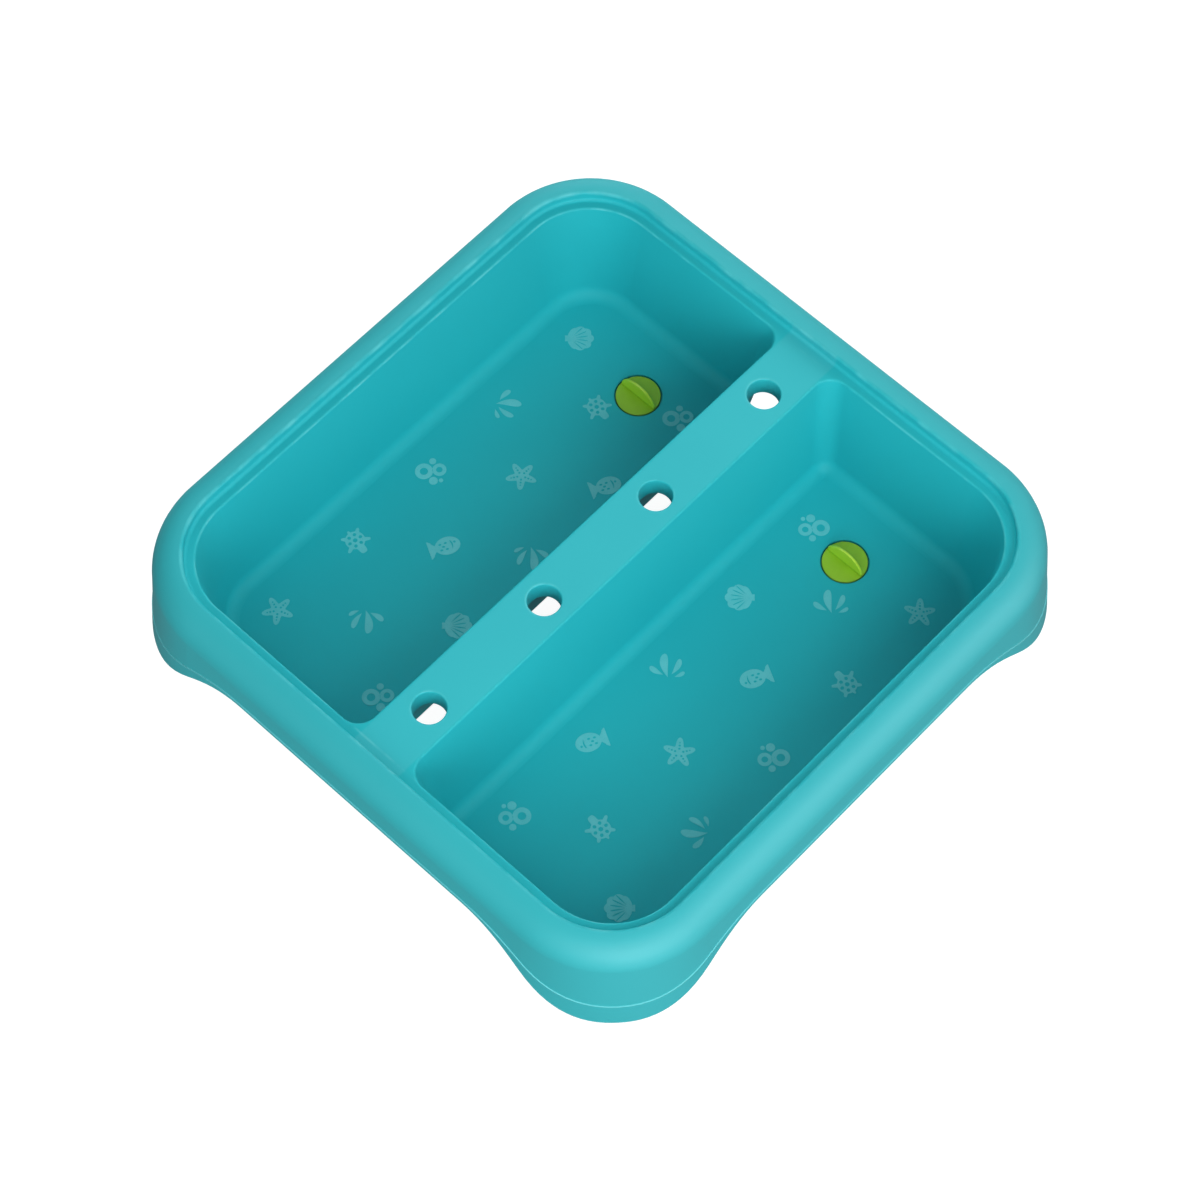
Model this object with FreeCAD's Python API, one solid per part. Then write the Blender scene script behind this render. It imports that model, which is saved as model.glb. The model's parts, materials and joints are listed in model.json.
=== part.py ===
"""Two-basin sand and water play tub with two drain plugs.

One moulded tub: a rolled rim with a skirt around it, a ledge inside the rim, two basins with a
hollow divider between them, four sleeved holes down the divider, and a drain cup in each basin.
Each drain is closed by a stopper with a half-moon finger grip and a rubber seal ring.

Millimetres. X runs across the two basins, Y along the divider, +Z up. The origin is the middle of
the footprint, on the plane that the tub stands on.
"""
import FreeCAD, Part
import math
import os
from FreeCAD import Vector

# ---- walls and levels ----
WALL = 2.5                    # moulded wall thickness, everywhere
STANDING_RING_DROP = 10.0     # how far the standing rings reach below the basin floors
BASIN_DEPTH = 106.4           # ledge down to basin floor
LEDGE_DROP = 9.2              # rim's inner edge down to the ledge
RIM_CROWN = 1.0               # rim's top above its inner edge

# ---- plan of the rim ----
RIM_INNER_HALF = 250.0        # middle to the rim's inner edge
RIM_INNER_CORNER = 70.5
RIM_WIDTH = 26.2              # rim's inner edge to the widest point of the roll
RIM_ROLL = 25.5               # radius of the roll over the rim's outside
RIM_EDGE_ROUND = 2.5
LEDGE_WIDTH = 9.0             # rim's inner edge to the edge of the basins
LEDGE_FILLET = 3.0

# ---- skirt ----
SKIRT_FLARE = 0.098           # outward per unit down
SKIRT_DROP = 44.5             # rim's inner edge to the skirt's lower edge, mid-side
CORNER_DROP = 101.5           # the same at the four corners
BAND_DROP = 41.2              # rim's inner edge to the top of the edge band, mid-side
BAND_CORNER_DROP = 75.5
BAND_PROUD = 0.6              # how far the edge band stands out from the skirt
ARCH_FLAT_HALF = 118.0        # half the straight stretch of the skirt's lower edge
ARCH_CORNER_INSET = 28.0      # where the arch ends, measured in from the skirt's side
ARCH_LEAN = 0.42              # how softly the arch turns down: the pull of its curve's ends

# ---- basins ----
DIVIDER_WIDTH = 50.0
BASIN_DRAFT = 0.141           # inward per unit down
BASIN_FLOOR_FILLET = 12.0
BASIN_EDGE_ROUND = 2.0
DIVIDER_CORNER = 17.0         # basin corners beside the divider, at the top
DIVIDER_CORNER_FLOOR = 13.5   # and at the floor
STANDING_RING_INSET = 26.0    # edge of the basin floor to the standing ring's middle
STANDING_RING_WIDTH = 5.0
STANDING_RING_CORNER = 30.0

# ---- sleeved holes down the divider ----
HOLE_RADIUS = 13.5
HOLE_PITCH = 126.9
HOLE_COUNT = 4
HOLE_EDGE_ROUND = 1.5
SLEEVE_DEPTH = 20.0           # divider top down to the sleeve's lower end

# ---- drains and their stoppers ----
DRAIN_X = 114.4               # middle of the tub to each drain
DRAIN_Y = 167.7
PLUG_RADIUS = 19.0
PLUG_THICKNESS = 3.2          # the disc, flush with the basin floor
PLUG_EDGE_ROUND = 0.7
RECESS_CLEARANCE = 0.8
DRAIN_BORE_RADIUS = 15.0
COLLAR_GROUND_CLEARANCE = 2.0
STEM_CLEARANCE = 1.4
STEM_WALL = 2.4
STEM_GROUND_CLEARANCE = 2.3
RING_SECTION_RADIUS = 1.35
RING_BORE_CLEARANCE = 0.05
RING_GROOVE_CLEARANCE = 0.05
GRIP_HALF_LENGTH = 18.3
GRIP_HEIGHT = 16.2
GRIP_THICKNESS = 2.2
GRIP_EDGE_ROUND = 0.8
GRIP_ROOT_INSET = 0.5         # the grip's root in the disc is this much shorter at each end

# ---- levels worked out from the above ----
FLOOR_UNDER = STANDING_RING_DROP
FLOOR = FLOOR_UNDER + WALL
LEDGE = FLOOR + BASIN_DEPTH
RIM_EDGE = LEDGE + LEDGE_DROP
RIM_TOP = RIM_EDGE + RIM_CROWN
SKIRT_EDGE = RIM_EDGE - SKIRT_DROP
CORNER_EDGE = RIM_EDGE - CORNER_DROP
BAND_EDGE = RIM_EDGE - BAND_DROP
BAND_CORNER_EDGE = RIM_EDGE - BAND_CORNER_DROP
RECESS_FLOOR = FLOOR - PLUG_THICKNESS

# ---- stopper and seal worked out from the above ----
STEM_RADIUS = DRAIN_BORE_RADIUS - STEM_CLEARANCE
RING_RADIUS = DRAIN_BORE_RADIUS - RING_BORE_CLEARANCE - RING_SECTION_RADIUS
GROOVE_RADIUS = RING_RADIUS - RING_SECTION_RADIUS - RING_GROOVE_CLEARANCE
RING_GROOVE_WIDTH = 2 * (RING_SECTION_RADIUS + RING_GROOVE_CLEARANCE)
RING_LEVEL = (RECESS_FLOOR + STEM_GROUND_CLEARANCE) / 2

# ---- plan sizes worked out from the above ----
SKIRT_HALF = RIM_INNER_HALF + RIM_WIDTH        # at the level of SKIRT_START
SKIRT_CORNER = RIM_INNER_CORNER + RIM_WIDTH
SKIRT_START = RIM_TOP - RIM_ROLL
BASIN_HALF = RIM_INNER_HALF - LEDGE_WIDTH
BASIN_CORNER = RIM_INNER_CORNER - LEDGE_WIDTH
BASIN_INNER = DIVIDER_WIDTH / 2
MARGIN = 10.0                                  # how far cutting tools run past what they cut
NEAR = 1e-3                                    # two lengths this close are the same


def rounded_rect(x0, x1, y0, y1, z, radii):
    """A closed wire at height z. The radii go round from corner (x0, y0) to (x1, y0) and on."""
    corners = [(x0, y0), (x1, y0), (x1, y1), (x0, y1)]
    inward = [(1, 1), (-1, 1), (-1, -1), (1, -1)]
    arcs = []
    for index, ((x, y), (sx, sy), radius) in enumerate(zip(corners, inward, radii)):
        centre = Vector(x + sx * radius, y + sy * radius, z)
        start = math.pi + index * math.pi / 2
        points = []
        for step in range(3):
            angle = start + step * math.pi / 4
            points.append(centre + Vector(math.cos(angle), math.sin(angle), 0) * radius)
        arcs.append(points)
    edges = []
    for index, points in enumerate(arcs):
        edges.append(Part.Arc(*points).toShape())
        edges.append(Part.LineSegment(points[2], arcs[(index + 1) % 4][0]).toShape())
    return Part.Wire(edges)


def rounded_square(half, z, radius):
    return rounded_rect(-half, half, -half, half, z, [radius] * 4)


def edges_at(shape, z):
    """The edges that lie flat at height z."""
    found = []
    for edge in shape.Edges:
        box = edge.BoundBox
        if abs(box.ZMin - z) < NEAR and abs(box.ZMax - z) < NEAR:
            found.append(edge)
    return found


def edges_within(shape, z, half):
    """The flat edges at height z whose middle lies inside a square of this half-width, or on it."""
    found = []
    for edge in edges_at(shape, z):
        middle = edge.CenterOfMass
        if max(abs(middle.x), abs(middle.y)) < half + NEAR:
            found.append(edge)
    return found


def circles_at(shape, z, radius):
    """The round edges of this radius that lie flat at height z."""
    found = []
    for edge in edges_at(shape, z):
        if abs(getattr(edge.Curve, "Radius", 0) - radius) < NEAR:
            found.append(edge)
    return found


def prism(wire, height):
    return Part.Face(wire).extrude(Vector(0, 0, height))


def skirt_block(inset, top, bottom):
    """The tub's outside as a solid block, flaring downwards, without the rim's roll."""
    sections = []
    for z in (bottom, top):
        grow = SKIRT_FLARE * (SKIRT_START - z) - inset
        sections.append(rounded_square(SKIRT_HALF + grow, z, SKIRT_CORNER + grow))
    return Part.makeLoft(sections, True, True)


def arch_cutter(along_x, mid_edge, corner_edge):
    """What lies below an edge line that is high along the sides and drops towards the corners."""
    reach = SKIRT_HALF + 3 * MARGIN
    low = -MARGIN
    end = SKIRT_HALF - ARCH_CORNER_INSET
    lean = (end - ARCH_FLAT_HALF) * ARCH_LEAN
    half_curve = [
        (ARCH_FLAT_HALF, mid_edge),
        (ARCH_FLAT_HALF + lean, mid_edge),
        (end - lean, corner_edge),
        (end, corner_edge),
    ]

    def place(across, z):
        return Vector(0, across, z) if along_x else Vector(across, 0, z)

    def curve(side):
        poles = [place(side * across, z) for across, z in half_curve]
        bezier = Part.BezierCurve()
        bezier.setPoles(poles)
        return bezier.toShape()

    def line(start, finish):
        return Part.makeLine(place(*start), place(*finish))

    edges = [
        line((-reach, low), (-reach, corner_edge)),
        line((-reach, corner_edge), (-end, corner_edge)),
        curve(-1),
        line((-ARCH_FLAT_HALF, mid_edge), (ARCH_FLAT_HALF, mid_edge)),
        curve(1),
        line((end, corner_edge), (reach, corner_edge)),
        line((reach, corner_edge), (reach, low)),
        line((reach, low), (-reach, low)),
    ]
    face = Part.Face(Part.Wire(Part.__sortEdges__(edges)))
    sweep = Vector(2 * reach, 0, 0) if along_x else Vector(0, 2 * reach, 0)
    cutter = face.extrude(sweep)
    cutter.translate(sweep * -0.5)
    return cutter


def skirt_and_rim():
    """The outside of the tub as a filled block: rim roll, flared skirt and edge band."""
    block = skirt_block(0, RIM_TOP, CORNER_EDGE - MARGIN)
    block = block.makeFillet(RIM_ROLL, edges_at(block, RIM_TOP))
    band = skirt_block(-BAND_PROUD, BAND_EDGE + MARGIN, CORNER_EDGE - MARGIN)
    below_line = arch_cutter(True, BAND_EDGE, BAND_CORNER_EDGE).fuse(
        arch_cutter(False, BAND_EDGE, BAND_CORNER_EDGE))
    block = block.fuse(band.common(below_line))
    for along_x in (True, False):
        block = block.cut(arch_cutter(along_x, SKIRT_EDGE, CORNER_EDGE))
    return block


def basin_form(side, grow, bottom, top, fillet):
    """A basin as a solid form on one side of the divider, grown outwards by a wall."""
    sections = []
    for z in (bottom, top):
        shrink = BASIN_DRAFT * (LEDGE - z) - grow
        depth_share = (LEDGE - z) / BASIN_DEPTH
        beside_divider = DIVIDER_CORNER + grow - (DIVIDER_CORNER - DIVIDER_CORNER_FLOOR) * depth_share
        outer = BASIN_CORNER - shrink
        inner_x = BASIN_INNER + shrink
        outer_x = BASIN_HALF - shrink
        half_y = BASIN_HALF - shrink
        if side > 0:
            radii = [beside_divider, outer, outer, beside_divider]
            sections.append(rounded_rect(inner_x, outer_x, -half_y, half_y, z, radii))
        else:
            radii = [outer, beside_divider, beside_divider, outer]
            sections.append(rounded_rect(-outer_x, -inner_x, -half_y, half_y, z, radii))
    form = Part.makeLoft(sections, True, True)
    return form.makeFillet(fillet, edges_at(form, bottom))


def standing_ring(side):
    """The bead under a basin floor that the tub stands on."""
    floor_shrink = BASIN_DRAFT * BASIN_DEPTH
    solids = []
    for grow in (STANDING_RING_WIDTH / 2, -STANDING_RING_WIDTH / 2):
        shrink = floor_shrink + STANDING_RING_INSET - grow
        inner_x = side * (BASIN_INNER + shrink)
        outer_x = side * (BASIN_HALF - shrink)
        half_y = BASIN_HALF - shrink
        wire = rounded_rect(min(inner_x, outer_x), max(inner_x, outer_x), -half_y, half_y, 0,
                            [STANDING_RING_CORNER + grow] * 4)
        solids.append(prism(wire, FLOOR_UNDER + WALL / 2))
    return solids[0].cut(solids[1])


def drain_cup(side):
    """The dished seat and collar under a basin floor that hold the stopper."""
    centre = Vector(side * DRAIN_X, DRAIN_Y, 0)
    cup_bottom = RECESS_FLOOR - WALL
    cup = Part.makeCylinder(PLUG_RADIUS + RECESS_CLEARANCE + WALL, FLOOR - cup_bottom,
                            centre + Vector(0, 0, cup_bottom))
    collar = Part.makeCylinder(DRAIN_BORE_RADIUS + WALL, RECESS_FLOOR - COLLAR_GROUND_CLEARANCE,
                               centre + Vector(0, 0, COLLAR_GROUND_CLEARANCE))
    return cup.fuse(collar)


def drain_opening(side):
    centre = Vector(side * DRAIN_X, DRAIN_Y, 0)
    recess = Part.makeCylinder(PLUG_RADIUS + RECESS_CLEARANCE, PLUG_THICKNESS + MARGIN,
                               centre + Vector(0, 0, RECESS_FLOOR))
    bore = Part.makeCylinder(DRAIN_BORE_RADIUS, FLOOR + MARGIN, centre)
    return recess.fuse(bore)


def hole_rows():
    first = -HOLE_PITCH * (HOLE_COUNT - 1) / 2
    return [first + HOLE_PITCH * index for index in range(HOLE_COUNT)]


def hollow_underneath():
    """The space under the rim, ledge and divider, which is open from below."""
    block = skirt_block(WALL, RIM_TOP - WALL, -MARGIN)
    block = block.makeFillet(RIM_ROLL - WALL, edges_at(block, RIM_TOP - WALL))
    well = prism(rounded_square(RIM_INNER_HALF + WALL, LEDGE - WALL, RIM_INNER_CORNER + WALL),
                 LEDGE_DROP + MARGIN)
    hollow = block.cut(well)
    for side in (-1, 1):
        hollow = hollow.cut(basin_form(side, WALL, FLOOR_UNDER, LEDGE, BASIN_FLOOR_FILLET + WALL))
    for y in hole_rows():
        sleeve = Part.makeCylinder(HOLE_RADIUS + WALL, SLEEVE_DEPTH, Vector(0, y, LEDGE - SLEEVE_DEPTH))
        hollow = hollow.cut(sleeve)
    return hollow


def tub():
    body = skirt_and_rim()
    for side in (-1, 1):
        body = body.fuse(basin_form(side, WALL, FLOOR_UNDER, LEDGE, BASIN_FLOOR_FILLET + WALL))
    # The well inside the rim, with its fillet down to the ledge and its rounded upper edge.
    well = prism(rounded_square(RIM_INNER_HALF, LEDGE, RIM_INNER_CORNER), LEDGE_DROP + MARGIN)
    well = well.makeFillet(LEDGE_FILLET, edges_at(well, LEDGE))
    body = body.cut(well)
    rim_edges = edges_within(body, RIM_TOP, RIM_INNER_HALF)
    body = body.makeFillet(RIM_EDGE_ROUND, rim_edges)
    # The basins, with rounded upper edges.
    for side in (-1, 1):
        body = body.cut(basin_form(side, 0, FLOOR, LEDGE + WALL, BASIN_FLOOR_FILLET))
    body = body.makeFillet(BASIN_EDGE_ROUND, edges_within(body, LEDGE, BASIN_HALF))
    body = body.cut(hollow_underneath())
    # The holes down the divider, with rounded upper edges.
    for y in hole_rows():
        foot = Vector(0, y, LEDGE - SLEEVE_DEPTH - MARGIN)
        body = body.cut(Part.makeCylinder(HOLE_RADIUS, SLEEVE_DEPTH + 2 * MARGIN, foot))
    body = body.makeFillet(HOLE_EDGE_ROUND, circles_at(body, LEDGE, HOLE_RADIUS))
    # Under the floors: what the tub stands on, and the drains.
    for side in (-1, 1):
        body = body.fuse(standing_ring(side))
        body = body.fuse(drain_cup(side))
        body = body.cut(drain_opening(side))
    return body


def drain_plug(side):
    """A stopper: a disc with a half-moon finger grip, and a hollow stem with the ring's groove."""
    centre = Vector(side * DRAIN_X, DRAIN_Y, 0)
    disc = Part.makeCylinder(PLUG_RADIUS, PLUG_THICKNESS, Vector(0, 0, RECESS_FLOOR))
    disc = disc.makeFillet(PLUG_EDGE_ROUND, edges_at(disc, FLOOR))
    stem_height = RECESS_FLOOR - STEM_GROUND_CLEARANCE
    foot = Vector(0, 0, STEM_GROUND_CLEARANCE)
    stem = Part.makeCylinder(STEM_RADIUS, stem_height, foot)
    groove = Part.makeCylinder(STEM_RADIUS + MARGIN, RING_GROOVE_WIDTH,
                               Vector(0, 0, RING_LEVEL - RING_GROOVE_WIDTH / 2))
    groove = groove.cut(Part.makeCylinder(GROOVE_RADIUS, RECESS_FLOOR))
    hollow = Part.makeCylinder(STEM_RADIUS - STEM_WALL, stem_height, foot)
    plug = disc.fuse(stem.cut(groove).cut(hollow)).fuse(finger_grip())
    plug.translate(centre)
    return plug


def finger_grip():
    """Half an ellipse standing across the disc, with rounded edges and a root inside the disc."""
    ellipse = Part.Ellipse(Vector(0, 0, 0), GRIP_HALF_LENGTH, GRIP_HEIGHT)
    arch = Part.Arc(ellipse, 0, math.pi).toShape()
    chord = Part.makeLine(Vector(-GRIP_HALF_LENGTH, 0, 0), Vector(GRIP_HALF_LENGTH, 0, 0))
    grip = Part.Face(Part.Wire([arch, chord])).extrude(Vector(0, 0, GRIP_THICKNESS))
    rims = [edge for edge in grip.Edges if edge.Length > 2 * GRIP_HALF_LENGTH + NEAR]
    grip = grip.makeFillet(GRIP_EDGE_ROUND, rims)
    grip.rotate(Vector(0, 0, 0), Vector(1, 0, 0), 90)
    grip.translate(Vector(0, GRIP_THICKNESS / 2, FLOOR))
    root_half = GRIP_HALF_LENGTH - GRIP_ROOT_INSET
    root_depth = PLUG_THICKNESS / 2
    root_corner = Vector(-root_half, -GRIP_THICKNESS / 2, FLOOR - root_depth)
    return grip.fuse(Part.makeBox(2 * root_half, GRIP_THICKNESS, root_depth, root_corner))


def seal_ring(side):
    return Part.makeTorus(RING_RADIUS, RING_SECTION_RADIUS, Vector(side * DRAIN_X, DRAIN_Y, RING_LEVEL))


def main():
    nodes = {"tub": tub()}
    for side, name in ((-1, "left"), (1, "right")):
        nodes[name + "_drain_plug"] = drain_plug(side)
        nodes[name + "_seal_ring"] = seal_ring(side)
    os.makedirs("parts", exist_ok=True)
    for name, shape in nodes.items():
        shape = shape.removeSplitter()
        if not shape.isValid() or len(shape.Solids) != 1:
            raise ValueError(name + " is not one valid solid")
        shape.exportStep("parts/" + name + ".step")
        print(name, round(shape.Volume / 1000, 2), "cm3")


main()
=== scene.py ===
"""The looks of a two-basin sand and water play tub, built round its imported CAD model.

Metres, in the CAD model's frame: X runs across the two basins, Y along the divider, +Z up. The
tub, the two drain stoppers and their seal rings are CAD nodes and keep their meshes. This script
gives them their plastics and rubber, and adds the pale sea pictures that are printed on the basin
floors.
"""
import json
import math

import bmesh
import bpy
from mathutils import Matrix, Vector


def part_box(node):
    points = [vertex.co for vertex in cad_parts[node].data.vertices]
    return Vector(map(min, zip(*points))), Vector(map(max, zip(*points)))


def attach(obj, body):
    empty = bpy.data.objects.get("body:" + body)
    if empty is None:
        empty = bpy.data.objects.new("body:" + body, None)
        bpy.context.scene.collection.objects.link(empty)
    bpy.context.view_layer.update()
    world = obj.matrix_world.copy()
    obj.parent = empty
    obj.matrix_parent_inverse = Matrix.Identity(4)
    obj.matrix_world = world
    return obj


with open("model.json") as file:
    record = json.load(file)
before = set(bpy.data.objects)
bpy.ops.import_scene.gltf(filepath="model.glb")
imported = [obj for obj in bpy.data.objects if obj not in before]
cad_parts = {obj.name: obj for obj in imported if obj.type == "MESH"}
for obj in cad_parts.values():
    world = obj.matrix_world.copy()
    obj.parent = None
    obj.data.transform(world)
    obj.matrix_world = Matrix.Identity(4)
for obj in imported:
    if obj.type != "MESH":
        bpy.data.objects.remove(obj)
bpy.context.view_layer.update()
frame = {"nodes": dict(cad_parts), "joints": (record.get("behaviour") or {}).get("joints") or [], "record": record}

MM = 0.001

# ---- levels and places, read from the frame ----
mounts = {mount["name"]: mount for mount in frame["record"]["mounts"]}
joints = {joint["name"]: joint for joint in frame["joints"]}
LEDGE = mounts["lid_ledge"]["pos_m"][2]
FLOOR = joints["left_plug_turn"]["pos_m"][2]
GRIP_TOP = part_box("left_drain_plug")[1].z
DRAIN_X, DRAIN_Y = (abs(place) for place in joints["left_plug_turn"]["pos_m"][:2])
STOPPER_RADIUS = (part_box("left_drain_plug")[1].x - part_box("left_drain_plug")[0].x) / 2
HOLE_ROWS = sorted(mount["pos_m"][1] for name, mount in mounts.items()
                   if name.endswith("post_hole"))

# ---- lengths that the frame doesn't name ----
HOLE_EDGE = 14.6 * MM         # a divider hole's middle to the worn part of its rounded edge
CORE = 179.5 * MM             # half the square that the rim's four corners turn round
RIM_EDGE_OUT = 71.0 * MM      # that square's side to the rim's inner edge
BASIN_EDGE_OUT = 61.5 * MM    # and to the upper edge of the basins
BAND_MID = 86.9 * MM          # top of the skirt's edge band in the middle of each side
BAND_CORNER = 52.6 * MM       # and at the corners
ARCH_START = 118.0 * MM       # middle of a side to where the arch leaves the straight
ARCH_END = 248.2 * MM         # and to where it ends
ARCH_LEAN = 0.42              # how far the arch's ends pull its curve
ARCH_STOPS = 16

# ---- where the plastics rub and shine, and where a highlight and shade are painted ----
CREST_RUB = 3.0 * MM          # how far each kind of wear, and the band's painted highlight, spreads either side of its edge
LIP_RUB = 1.6 * MM
HOLE_RUB = 1.2 * MM
# the band's edge gets a painted highlight, a pale line, not wear
BAND_HIGHLIGHT_REACH = 0.9 * MM
BAND_HIGHLIGHT_MIDDLE = -0.2 * MM   # from the band's edge to the middle of its painted highlight
# painted shade in the gap round each stopper
GAP_SHADE_REACH = 1.5 * MM
GAP_SHADE_MIDDLE = 0.4 * MM       # from the stopper's edge to the middle of its gap, where shade is painted
TONGUE_RUB = (27 * MM, 32 * MM)        # heights over which the corner tongues' wear fades
BEAD_SCRAPE = (0.2 * MM, 1.6 * MM)     # and the standing beads'
DIVIDER_SHINE = (22 * MM, 25 * MM)     # distances from X = 0 over which the divider's sheen fades
SKIRT_OUT = (RIM_EDGE_OUT + 15 * MM, RIM_EDGE_OUT + 20 * MM)   # from the rim over to the skirt

# ---- the printed pictures ----
PICTURE_HALF = 13.2 * MM      # from a picture's middle to its furthest point
FILM_ABOVE = 0.25 * MM        # how far the print stands above the basin floor
FILM_BELOW = 0.10 * MM        # and how far its underside is let into it
FILM_EDGE = 0.08 * MM
COLUMN_PITCH = 57.0 * MM
MIDDLE_COLUMN = 132.0 * MM    # middle of the tub to the middle column of pictures
SIDE_FIRST = 174.0 * MM       # the first picture of the two side columns
SIDE_PITCH = 88.0 * MM
MIDDLE_FIRST = 136.2 * MM     # the first picture of the middle column
MIDDLE_PITCH = 90.3 * MM
RIGHT_SHIFT = -4.0 * MM       # the right print is the left one turned half round, moved this far


# ---- shader kit ----
class Value:
    """A node's output that arithmetic can be written with. Each operation adds a Math node."""

    def __init__(self, finish, socket):
        self.finish = finish
        self.socket = socket

    def math(self, operation, *others):
        inputs = dict(enumerate((self, *others)))
        return self.finish.node("ShaderNodeMath", {"operation": operation}, inputs)

    def __add__(self, other):
        return self.math("ADD", other)

    def __sub__(self, other):
        return self.math("SUBTRACT", other)

    def __mul__(self, other):
        return self.math("MULTIPLY", other)

    def __rsub__(self, other):
        return self.finish.node("ShaderNodeMath", {"operation": "SUBTRACT"}, {0: other, 1: self})

    def __abs__(self):
        return self.math("ABSOLUTE")

    __radd__ = __add__

    def step(self, low, high):
        """0 below low, 1 above high and smooth between them."""
        settings = {"interpolation_type": "SMOOTHSTEP"}
        inputs = {"Value": self, "From Min": low, "From Max": high}
        return self.finish.node("ShaderNodeMapRange", settings, inputs)

    def near(self, middle, reach):
        """1 at middle, falling smoothly to 0 at reach either side of it."""
        return 1 - abs(self - middle).step(0, reach)


def set_stops(elements, stops):
    """Gives a ramp its grey stops, each a position and a value."""
    for position, _ in stops[1:-1]:
        elements.new(position)
    for element, (position, value) in zip(elements, stops):
        element.position = position
        element.color = (value, value, value, 1)


class Finish:
    """A node material on a Principled shader."""

    def __init__(self, name, **constants):
        self.material = bpy.data.materials.new(name)
        self.material.use_nodes = True
        self.nodes = self.material.node_tree.nodes
        self.links = self.material.node_tree.links
        self.shader = next(node for node in self.nodes if node.type == "BSDF_PRINCIPLED")
        for socket, value in constants.items():
            self.shader.inputs[socket.replace("_", " ")].default_value = value

    def fill(self, socket, value):
        if isinstance(value, Value):
            self.links.new(value.socket, socket)
        else:
            socket.default_value = value

    def node(self, kind, settings, inputs, output=0):
        """Adds a node, sets it, fills its inputs with numbers or links, and gives one output."""
        made = self.nodes.new(kind)
        for key, value in settings.items():
            if key == "stops":
                set_stops(made.color_ramp.elements, value)
            else:
                setattr(made, key, value)
        for key, value in inputs.items():
            self.fill(made.inputs[key], value)
        return Value(self, made.outputs[output])

    def place(self):
        return self.node("ShaderNodeTexCoord", {}, {}, "Object")

    def axis(self, name):
        """How far along one axis a point lies."""
        return self.node("ShaderNodeSeparateXYZ", {}, {"Vector": self.place()}, name)

    def noise(self, scale, detail=2.0, stretch=(1, 1, 1)):
        stretched = self.node("ShaderNodeMapping", {}, {"Vector": self.place(), "Scale": stretch})
        inputs = {"Vector": stretched, "Scale": scale, "Detail": detail}
        return self.node("ShaderNodeTexNoise", {}, inputs, "Fac")

    def mix(self, share, first, second):
        """Two colours mixed."""
        inputs = {"Factor": share, 6: first, 7: second}
        return self.node("ShaderNodeMix", {"data_type": "RGBA"}, inputs, 2)

    def bump(self, height, strength, distance, over=None):
        inputs = {"Height": height, "Strength": strength, "Distance": distance}
        if over:
            inputs["Normal"] = over
        return self.node("ShaderNodeBump", {}, inputs)

    def to_shader(self, **sockets):
        for name, value in sockets.items():
            self.fill(self.shader.inputs[name.replace("_", " ")], value)
        return self.material


def paint(red, green, blue):
    """A screen colour from 0 to 255 as the linear colour that a shader takes."""
    shares = (red / 255, green / 255, blue / 255)
    linear = (s / 12.92 if s <= 0.04045 else ((s + 0.055) / 1.055) ** 2.4 for s in shares)
    return (*linear, 1.0)


TEAL = paint(28, 174, 184)
TEAL_CLOUD = paint(33, 179, 188)
TEAL_OUTSIDE = paint(36, 158, 165)
TEAL_RUBBED = paint(104, 207, 212)
# painted highlight on the upper edge of the skirt's band
TEAL_BAND_HIGHLIGHT = paint(140, 228, 232)
TEAL_SCRAPED = paint(120, 186, 188)
# painted shade for the gap round the stoppers
TEAL_GAP_SHADE = paint(8, 84, 66)
LIME = paint(142, 190, 34)
LIME_CLOUD = paint(150, 197, 40)
# painted light: the grip's paler colour stands in for light on its shaded faces
LIME_GRIP_PAINTED_LIGHT = paint(202, 238, 60)
LIME_RUBBED = paint(210, 238, 120)
# painted shade for the stopper's edge at its gap
LIME_GAP_SHADE = paint(20, 84, 30)
RUBBER = paint(26, 27, 28)
RUBBER_DUST = paint(54, 56, 57)
INK = paint(86, 195, 201)
INK_PALER = paint(96, 200, 206)
INK_PINHOLE = paint(36, 176, 186)


def out_from_core(finish):
    """How far outside the core square a point lies, which is the same all round the rim."""
    past_x = (abs(finish.axis("X")) - CORE).math("MAXIMUM", 0)
    past_y = (abs(finish.axis("Y")) - CORE).math("MAXIMUM", 0)
    return (past_x * past_x + past_y * past_y).math("SQRT")


def arch_stops():
    """The arch from the middle of a side (0, 1) to the corner (1, 0)."""
    stops = []
    for step in range(ARCH_STOPS):
        t = step / (ARCH_STOPS - 1)
        early, late = 3 * (1 - t) ** 2 * t, 3 * (1 - t) * t * t
        stops.append((ARCH_LEAN * early + (1 - ARCH_LEAN) * late + t ** 3, 1 - late - t ** 3))
    return stops


def band_highlight(finish, height, out):
    """1 on the raised upper edge of the band that follows the skirt's arches, where a pale highlight is painted.
    """
    along = abs(finish.axis("X")).math("MINIMUM", abs(finish.axis("Y")))
    share = (along - ARCH_START) * (1 / (ARCH_END - ARCH_START))
    arch = finish.node("ShaderNodeValToRGB", {"stops": arch_stops()}, {"Fac": share})
    line = arch * (BAND_MID - BAND_CORNER) + BAND_CORNER
    return (height - line).near(BAND_HIGHLIGHT_MIDDLE, BAND_HIGHLIGHT_REACH) * out.step(*SKIRT_OUT)


def gap_shade(finish):
    """1 in the narrow gap round a stopper, fading to 0 either side of it: where shade is painted."""
    from_x = abs(finish.axis("X")) - DRAIN_X
    from_y = finish.axis("Y") - DRAIN_Y
    from_middle = (from_x * from_x + from_y * from_y).math("SQRT")
    return from_middle.near(STOPPER_RADIUS + GAP_SHADE_MIDDLE, GAP_SHADE_REACH)


def hole_edges(finish, height):
    """1 on the rounded edges of the holes down the divider."""
    x = finish.axis("X")
    pitch = HOLE_ROWS[1] - HOLE_ROWS[0]
    along = (finish.axis("Y") - HOLE_ROWS[0]).math("PINGPONG", pitch / 2)
    from_middle = (x * x + along * along).math("SQRT")
    return from_middle.near(HOLE_EDGE, HOLE_RUB) * height.step(LEDGE - 3 * MM, LEDGE - 1 * MM)


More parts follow.
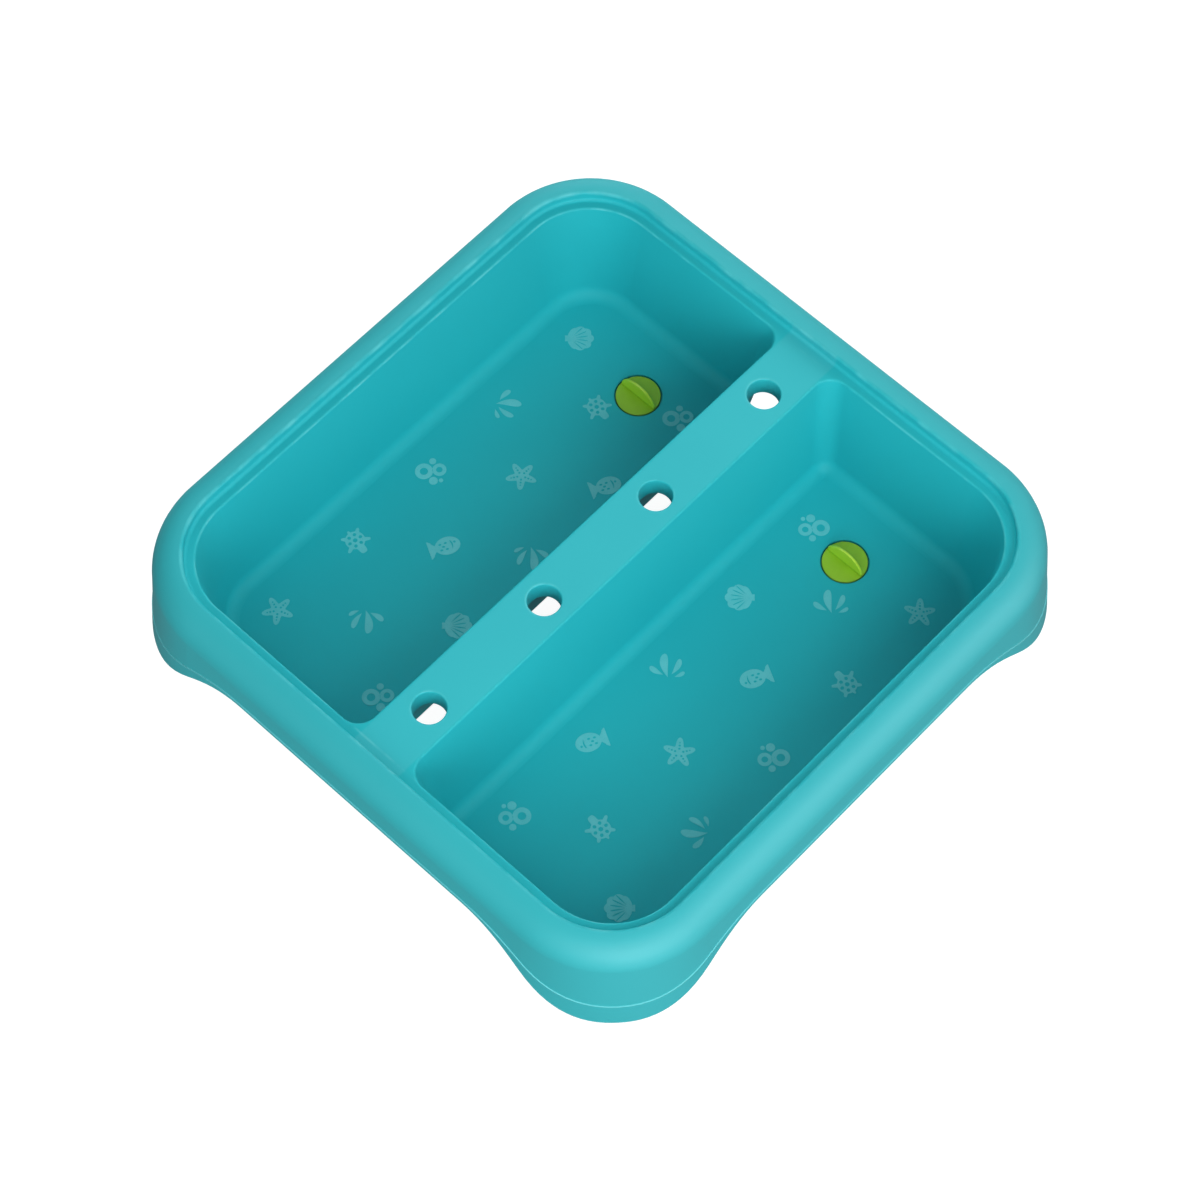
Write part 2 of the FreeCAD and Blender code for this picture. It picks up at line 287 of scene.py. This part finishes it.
def tub_plastic():
    """Teal polypropylene, matt inside and with a soft sheen outside, paler where it rubs, with a painted highlight
    on the skirt band's edge and painted shade round the stoppers.
    """
    finish = Finish("tub_plastic", IOR=1.49, Specular_IOR_Level=0.3,
                    Coat_Roughness=0.65, Coat_IOR=1.5)
    height = finish.axis("Z")
    out = out_from_core(finish)
    crest = out.near(RIM_EDGE_OUT, CREST_RUB) * height.step(LEDGE + 5 * MM, LEDGE + 8 * MM)
    lips = out.near(BASIN_EDGE_OUT, LIP_RUB) * height.step(LEDGE - 2 * MM, LEDGE - 1 * MM)
    holes = hole_edges(finish, height)
    tongues = (1 - height.step(*TONGUE_RUB)) * out.step(RIM_EDGE_OUT, RIM_EDGE_OUT + 10 * MM)
    beads = 1 - height.step(*BEAD_SCRAPE)
    edges = crest.math("MAXIMUM", lips).math("MAXIMUM", holes).math("MAXIMUM", tongues)
    rubbed = edges * finish.noise(40.0, 5.0).step(0.40, 0.66)
    scraped = beads * finish.noise(300.0, 4.0, stretch=(1, 0.3, 1)).step(0.4, 0.7)
    # painted shade on the floor in the gap round each stopper
    painted_gap_shade = gap_shade(finish) * height.step(FLOOR - 1.5 * MM, FLOOR - 0.2 * MM)
    outside = out.step(RIM_EDGE_OUT - 1 * MM, RIM_EDGE_OUT + 3 * MM)
    across = abs(finish.axis("X"))
    divider = (1 - across.step(*DIVIDER_SHINE)) * height.step(LEDGE - 1 * MM, LEDGE)
    polished = outside.math("MAXIMUM", divider)
    cloud = finish.noise(4.0, 3.0).step(0.3, 0.7)
    flow = finish.noise(19.0, 2.0, stretch=(1, 1, 0.3))
    colour = finish.mix(cloud, TEAL, TEAL_CLOUD)
    colour = finish.mix(outside * 0.36, colour, TEAL_OUTSIDE)
    colour = finish.mix(rubbed * 0.38, colour, TEAL_RUBBED)
    # a painted highlight along the upper edge of the skirt's band
    colour = finish.mix(band_highlight(finish, height, out) * 0.5, colour, TEAL_BAND_HIGHLIGHT)
    colour = finish.mix(scraped * 0.5, colour, TEAL_SCRAPED)
    colour = finish.mix(painted_gap_shade * 0.75, colour, TEAL_GAP_SHADE)
    roughness = 0.58 + flow * 0.08 - rubbed * 0.1 + scraped * 0.12
    scuffs = finish.noise(130.0, 5.0, stretch=(1, 0.22, 1)).step(0.64, 0.8)
    normal = finish.bump(finish.noise(2400.0), 0.09, 0.08 * MM)
    normal = finish.bump(scuffs * edges, 0.10, 0.12 * MM, normal)
    return finish.to_shader(Base_Color=colour, Roughness=roughness,
                            Coat_Weight=polished * 0.9, Normal=normal)


def stopper_plastic():
    """Lime polypropylene, glossier than the tub, with a grip that fingers have polished. The grip is painted paler
    as painted light, and its edge at the gap has painted shade.
    """
    finish = Finish("stopper_plastic", IOR=1.49, Specular_IOR_Level=0.5)
    height = finish.axis("Z")
    cloud = finish.noise(70.0, 3.0)
    # painted light: the grip is painted paler above the disc to lift its shaded faces
    grip = height.step(FLOOR + 0.2 * MM, FLOOR + 2.5 * MM)
    grip_edge = height.step(GRIP_TOP - 2.2 * MM, GRIP_TOP)
    rubbed = grip_edge * finish.noise(240.0, 4.0).step(0.35, 0.7)
    colour = finish.mix(cloud.step(0.3, 0.7), LIME, LIME_CLOUD)
    colour = finish.mix(grip * 0.7, colour, LIME_GRIP_PAINTED_LIGHT)
    colour = finish.mix(rubbed * 0.35, colour, LIME_RUBBED)
    # painted shade on the stopper's edge in its gap
    colour = finish.mix(gap_shade(finish) * 0.85, colour, LIME_GAP_SHADE)
    roughness = 0.46 + cloud * 0.08 - rubbed * 0.1
    scratches = finish.noise(520.0, 4.0, stretch=(0.2, 1, 1)).step(0.62, 0.78)
    normal = finish.bump(finish.noise(3600.0), 0.05, 0.05 * MM)
    normal = finish.bump(scratches, 0.05, 0.05 * MM, normal)
    return finish.to_shader(Base_Color=colour, Roughness=roughness, Normal=normal)


def seal_rubber():
    """Black rubber with a dusting of mould release."""
    finish = Finish("seal_rubber", IOR=1.5, Specular_IOR_Level=0.4)
    dust = finish.noise(420.0, 4.0).step(0.55, 0.8)
    colour = finish.mix(dust, RUBBER, RUBBER_DUST)
    normal = finish.bump(finish.noise(1800.0, 3.0), 0.08, 0.1 * MM)
    return finish.to_shader(Base_Color=colour, Roughness=0.48 + dust * 0.2, Normal=normal)


def print_ink():
    """A thin film of pale ink, paler in some places, with pinholes that show the teal."""
    finish = Finish("print_ink", IOR=1.45, Specular_IOR_Level=0.5)
    body = finish.noise(90.0, 3.0).step(0.25, 0.75)
    pinholes = finish.noise(1500.0, 2.0).step(0.60, 0.70)
    colour = finish.mix(body, INK, INK_PALER)
    colour = finish.mix(pinholes * 0.6, colour, INK_PINHOLE)
    normal = finish.bump(finish.noise(1100.0), 0.06, 0.04 * MM)
    return finish.to_shader(Base_Color=colour, Roughness=0.5 + pinholes * 0.12, Normal=normal)


# ---- outlines of the printed pictures, in shares of a picture's reach ----
def outline(sketch, points, bend):
    """Adds one closed outline: points round a circle, each moved by bend."""
    for vert in bmesh.ops.create_circle(sketch, segments=points, radius=1.0)["verts"]:
        vert.co.x, vert.co.y = bend(vert.co.x, vert.co.y)


def polar(degrees, reach):
    angle = math.radians(degrees)
    return reach * math.cos(angle), reach * math.sin(angle)


def oval(middle, half_length, half_width, degrees=0):
    """A bend from the circle to an oval whose length lies at this angle."""
    cos, sin = polar(degrees, 1)

    def bend(x, y):
        along, across = x * half_length, y * half_width
        return middle[0] + along * cos - across * sin, middle[1] + along * sin + across * cos
    return bend


def drop(middle, half_length, half_width, degrees, lean=0.0):
    """A bend from the circle to a drop, round ahead and pointed behind, that leans to one side."""
    cos, sin = polar(degrees, 1)

    def bend(x, y):
        along = x * half_length
        across = y * half_width * ((x + 1) / 2) ** 0.6 + lean * (1 - x * x)
        return middle[0] + along * cos - across * sin, middle[1] + along * sin + across * cos
    return bend


def lobed(core, lobes, blunt=2):
    """A bend from the circle to a round body with lobes of (angle, reach, width in degrees)."""
    def bend(x, y):
        degrees = math.degrees(math.atan2(y, x))
        reach = core
        for angle, more, width in lobes:
            away = abs((degrees - angle + 180) % 360 - 180)
            reach += more * math.exp(-(away / width) ** blunt)
        return x * reach, y * reach
    return bend


def starfish(sketch):
    arms = [72 * arm for arm in range(5)]
    outline(sketch, 100, lobed(0.40, [(arm, 0.60, 21) for arm in arms]))
    for arm in arms:
        for reach, size in ((0.26, 0.075), (0.47, 0.07), (0.66, 0.055)):
            outline(sketch, 10, oval(polar(arm, reach), size, size))


def scallop(sketch):
    def bend(x, y):
        ahead = (1 + x) / 2
        frill = abs(math.cos(4.5 * math.atan2(y, x)))
        reach = 0.64 + 0.24 * ahead ** 0.5 + 0.13 * frill * ahead
        if x < -0.96:
            reach += 0.18
        return x * reach, y * reach
    outline(sketch, 144, bend)
    for degrees in range(-45, 46, 18):
        ahead_x, ahead_y = polar(degrees, 0.78)
        outline(sketch, 16, drop((ahead_x - 0.56, ahead_y * 0.92), 0.44, 0.05, degrees))


def water_drops(sketch):
    outline(sketch, 32, drop((0.22, 0.04), 0.80, 0.34, 3, 0.12))
    outline(sketch, 24, drop((-0.08, 0.66), 0.48, 0.24, 52, 0.06))
    outline(sketch, 24, drop((0.10, -0.54), 0.58, 0.24, -32, -0.08))
    outline(sketch, 20, drop((-0.44, -0.72), 0.34, 0.17, -66, -0.04))


def bubbles(sketch):
    for place, size in (((-0.34, 0.28), 0.56), ((0.50, -0.20), 0.44)):
        outline(sketch, 40, oval(place, size, size))
        outline(sketch, 28, oval(place, size * 0.46, size * 0.46))
    for place, size in (((-0.26, -0.62), 0.28), ((0.52, 0.54), 0.22), ((0.14, -0.88), 0.14)):
        outline(sketch, 20, oval(place, size, size))


def turtle(sketch):
    head_and_tail = [(0, 0.44, 18), (180, 0.16, 7)]
    flippers = [(side * angle, reach, 9)
                for angle, reach in ((60, 0.34), (132, 0.26)) for side in (-1, 1)]
    outline(sketch, 144, lobed(0.62, head_and_tail + flippers, 4))
    outline(sketch, 6, oval((0, 0), 0.16, 0.16))
    for angle in range(0, 360, 60):
        outline(sketch, 6, oval(polar(angle + 30, 0.40), 0.13, 0.12, angle + 30))


def fish(sketch):
    def bend(x, y):
        body = 0.62 * math.sqrt(max(0, 1 - ((x - 0.2) / 0.8) ** 2)) if x > -0.6 else 0
        tail = 0.12 + 1.15 * max(0, -0.50 - x)
        half = min(max(body, tail), 0.62) if x < 0.98 else abs(y)
        notch = 0.22 * (1 - half / 0.62) if x < -0.8 else 0
        return x + notch, math.copysign(half, y) if abs(x) < 0.9999 else 0
    outline(sketch, 120, bend)
    outline(sketch, 12, oval((0.68, 0.14), 0.08, 0.08))
    outline(sketch, 20, drop((0.42, 0), 0.34, 0.07, 90, -0.08))
    for row, column in ((-0.22, 0.12), (0.22, 0.12), (0, -0.06), (-0.2, -0.24), (0.2, -0.24)):
        outline(sketch, 12, oval((column, row), 0.10, 0.07))


def is_upper_rim(edge):
    """Does an edge lie between a film's flat top and its side?"""
    slopes = sorted(face.normal.z for face in edge.link_faces)
    return len(slopes) == 2 and abs(slopes[0]) < 0.5 and slopes[1] > 0.5


def stamp(picture, middle, degrees):
    """One picture as a closed film with rounded upper edges, on the basin floor."""
    sketch = bmesh.new()
    picture(sketch)
    bmesh.ops.triangle_fill(sketch, use_beauty=True, edges=sketch.edges[:])
    faces = sketch.faces[:]
    bmesh.ops.reverse_faces(sketch, faces=[face for face in faces if face.normal.z > 0])
    lifted = bmesh.ops.extrude_face_region(sketch, geom=faces, use_keep_orig=True)["geom"]
    top = [item for item in lifted if isinstance(item, bmesh.types.BMVert)]
    scale = Matrix.Diagonal((PICTURE_HALF, PICTURE_HALF, 1, 1))
    bmesh.ops.translate(sketch, verts=top, vec=(0, 0, FILM_ABOVE + FILM_BELOW))
    turn = Matrix.Rotation(math.radians(degrees), 4, "Z")
    place = Matrix.Translation((*middle, FLOOR - FILM_BELOW))
    bmesh.ops.transform(sketch, matrix=place @ turn @ scale, verts=sketch.verts[:])
    bmesh.ops.recalc_face_normals(sketch, faces=sketch.faces[:])
    rim = [edge for edge in sketch.edges if is_upper_rim(edge)]
    bmesh.ops.bevel(sketch, geom=rim, offset=FILM_EDGE, offset_type="OFFSET", segments=2,
                    profile=0.5, affect="EDGES", clamp_overlap=True, material=-1)
    return sketch


# The left basin's pictures, from the drain's end to the other.
OUTER_PICTURES = (scallop, water_drops, bubbles, turtle, starfish)
MIDDLE_PICTURES = (turtle, starfish, fish, water_drops)
INNER_PICTURES = (bubbles, fish, water_drops, scallop, bubbles)
# The angles that they are turned to.
TURNED = {scallop: 43, water_drops: -43, bubbles: 80, turtle: -8, starfish: 20, fish: 62}
OUTER_DROPS_TURNED = 38


def picture_places():
    """(picture, x, y, degrees) for each picture of the left basin's print."""
    columns = (
        (OUTER_PICTURES, -MIDDLE_COLUMN - COLUMN_PITCH, SIDE_FIRST, SIDE_PITCH),
        (MIDDLE_PICTURES, -MIDDLE_COLUMN, MIDDLE_FIRST, MIDDLE_PITCH),
        (INNER_PICTURES, -MIDDLE_COLUMN + COLUMN_PITCH, SIDE_FIRST, SIDE_PITCH),
    )
    for pictures, x, first, pitch in columns:
        for row, picture in enumerate(pictures):
            outer_drops = picture is water_drops and pictures is OUTER_PICTURES
            degrees = OUTER_DROPS_TURNED if outer_drops else TURNED[picture]
            yield picture, x, first - row * pitch, degrees


def add_print(side, ink):
    """All the pictures on one basin's floor, as one piece."""
    whole = bmesh.new()
    for picture, x, y, degrees in picture_places():
        if side == "left":
            sketch = stamp(picture, (x, y), degrees)
        else:
            sketch = stamp(picture, (-x, RIGHT_SHIFT - y), degrees + 180)
        one = bpy.data.meshes.new("picture")
        sketch.to_mesh(one)
        sketch.free()
        whole.from_mesh(one)
        bpy.data.meshes.remove(one)
    mesh = bpy.data.meshes.new(f"{side}_basin_print")
    whole.to_mesh(mesh)
    whole.free()
    mesh.materials.append(ink)
    piece = bpy.data.objects.new(f"{side}_basin_print", mesh)
    bpy.context.scene.collection.objects.link(piece)
    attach(piece, "tub")


def finish_node(name, material):
    for slot in frame["nodes"][name].material_slots:
        slot.material = material


finish_node("tub", tub_plastic())
lime = stopper_plastic()
rubber = seal_rubber()
ink = print_ink()
for side in ("left", "right"):
    finish_node(f"{side}_drain_plug", lime)
    finish_node(f"{side}_seal_ring", rubber)
    add_print(side, ink)


# ---- stage ----
FLOOR_HALF = 9.0
LAMP_DISTANCE = 3.0
LAMP_SIZE = 2.0
# Each lamp's name, its degrees round from +X and above the floor, and its watts. Washes light
# only the colours of things, and sheens only their gloss.
WASHES = (
    ("right_wash", 0, 45, 35),
    ("front_wash", -45, 45, 24),
    ("low_front_wash", -45, 20, 40),
    ("low_left_wash", -110, 25, 13),
    ("low_back_wash", 135, 20, 65),
    ("low_far_wash", 90, 20, 16),
)
SHEENS = (
    ("low_front_sheen", -32, 20, 60),
    ("low_right_sheen", 28, 20, 42),
    ("high_back_sheen", 133, 62, 8),
)
AIR_STRENGTH = 0.22
PAPER_GLOW = 0.95             # the paper lights itself, so its own colour adds little
PAPER = (0.2, 0.2, 0.2, 1)
WHITE = (1, 1, 1, 1)
EYE = (0.9085, -0.9681, 2.5798)
LOOKED_AT = (0.03478, -0.03748, 0.1281)
LENS_MM = 107.7
SENSOR_MM = 36.0


def looking(eye, target):
    direction = Vector(target) - Vector(eye)
    return Matrix.Translation(eye) @ direction.to_track_quat("-Z", "Y").to_matrix().to_4x4()


def add_lamp(name, azimuth, elevation, power):
    """A large soft disc of light that is turned to the tub."""
    data = bpy.data.lights.new(name, "AREA")
    data.shape = "DISK"
    data.size = LAMP_SIZE
    data.energy = power
    lamp = bpy.data.objects.new(name, data)
    bpy.context.scene.collection.objects.link(lamp)
    across, up = polar(elevation, LAMP_DISTANCE)
    lamp.matrix_world = looking((*polar(azimuth, across), up), (0, 0, LEDGE / 2))
    return lamp


def add_floor():
    """A pale paper floor that turns up into plain walls far behind the tub."""
    shape = bmesh.new()
    bmesh.ops.create_grid(shape, x_segments=1, y_segments=1, size=FLOOR_HALF)
    border = [edge for edge in shape.edges if edge.is_boundary]
    walls = bmesh.ops.extrude_edge_only(shape, edges=border)["geom"]
    upper = [item for item in walls if isinstance(item, bmesh.types.BMVert)]
    bmesh.ops.translate(shape, verts=upper, vec=(0, 0, FLOOR_HALF))
    mesh = bpy.data.meshes.new("studio_floor")
    shape.to_mesh(mesh)
    shape.free()
    floor = bpy.data.objects.new("studio_floor", mesh)
    bpy.context.scene.collection.objects.link(floor)
    paper = Finish("studio_paper", Roughness=0.9, Specular_IOR_Level=0.0,
                   Emission_Strength=PAPER_GLOW)
    mesh.materials.append(paper.to_shader(Base_Color=PAPER, Emission_Color=WHITE))
    floor.visible_diffuse = False
    floor.visible_glossy = False
    floor.visible_shadow = False


def add_air(strength):
    """Pale light from all round."""
    world = bpy.data.worlds.new("studio_air")
    world.use_nodes = True
    background = next(node for node in world.node_tree.nodes if node.type == "BACKGROUND")
    background.inputs["Color"].default_value = WHITE
    background.inputs["Strength"].default_value = strength
    bpy.context.scene.world = world


def add_camera():
    data = bpy.data.cameras.new("camera")
    data.lens = LENS_MM
    data.sensor_width = SENSOR_MM
    camera = bpy.data.objects.new("camera", data)
    bpy.context.scene.collection.objects.link(camera)
    camera.matrix_world = looking(EYE, LOOKED_AT)
    bpy.context.scene.camera = camera


add_floor()
add_air(AIR_STRENGTH)
for wash in WASHES:
    add_lamp(*wash).visible_glossy = False
for sheen in SHEENS:
    add_lamp(*sheen).visible_diffuse = False
add_camera()
bpy.context.scene.view_settings.view_transform = "Standard"
